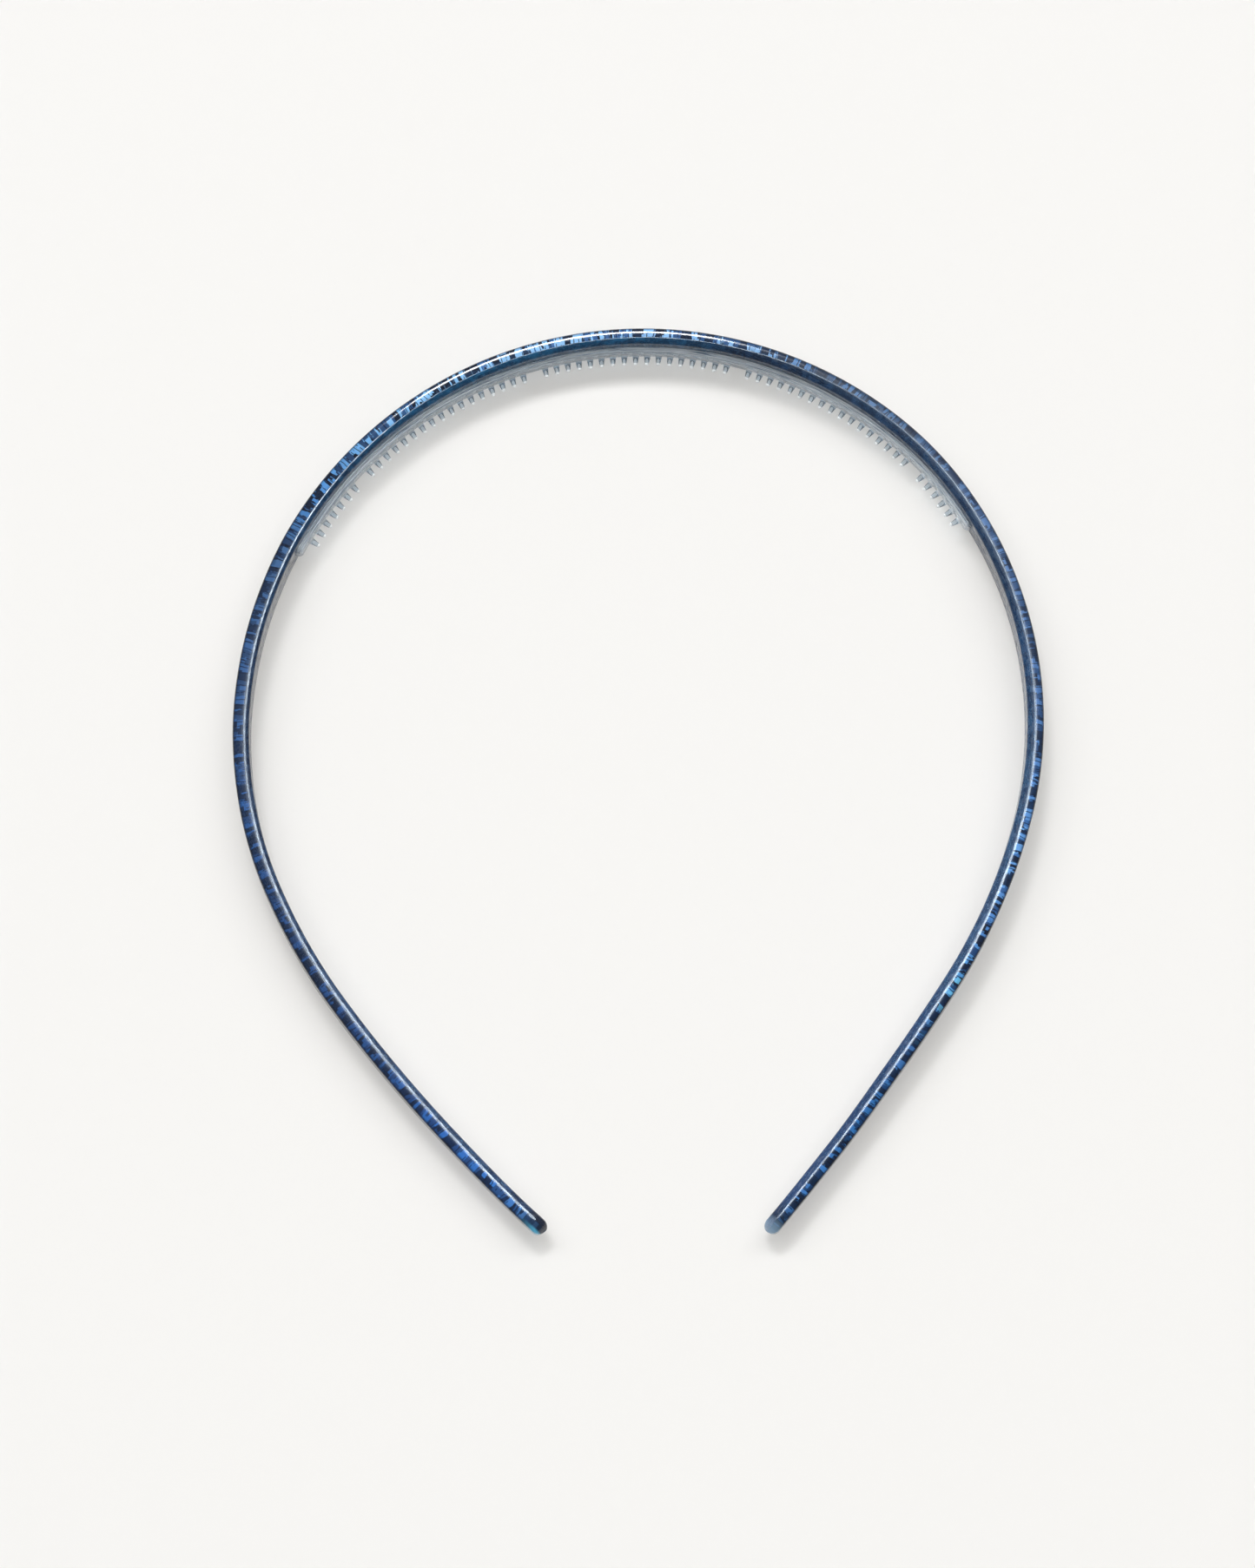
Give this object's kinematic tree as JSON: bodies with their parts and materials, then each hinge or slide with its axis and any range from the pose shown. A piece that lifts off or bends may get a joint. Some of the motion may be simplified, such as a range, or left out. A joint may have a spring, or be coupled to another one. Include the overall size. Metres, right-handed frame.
{
  "type": "headband",
  "caption": "Slim curved headband of two laminated acetate layers, open between its rounded tips and narrower along its lower legs, with an inset comb strip along the inside of the crown.",
  "frame": {"origin": "centre of the footprint's box on the plane the band lies on, resting on one long edge", "axes": "+Z across the band's width, away from the resting plane; +Y from the tips to the crown; +X to the right-hand leg"},
  "size_m": [0.1198, 0.1348, 0.008],
  "materials": {
    "patterned_acetate": "polished translucent blue with dark cross bars",
    "pearl_acetate": "polished navy with fine pearl specks",
    "clear_plastic": "clear, glossy, faintly blue"
  },
  "bodies": {
    "root": {"outer_ply": "patterned_acetate", "inner_ply": "pearl_acetate", "comb_strip": "clear_plastic"}
  },
  "joints": []
}
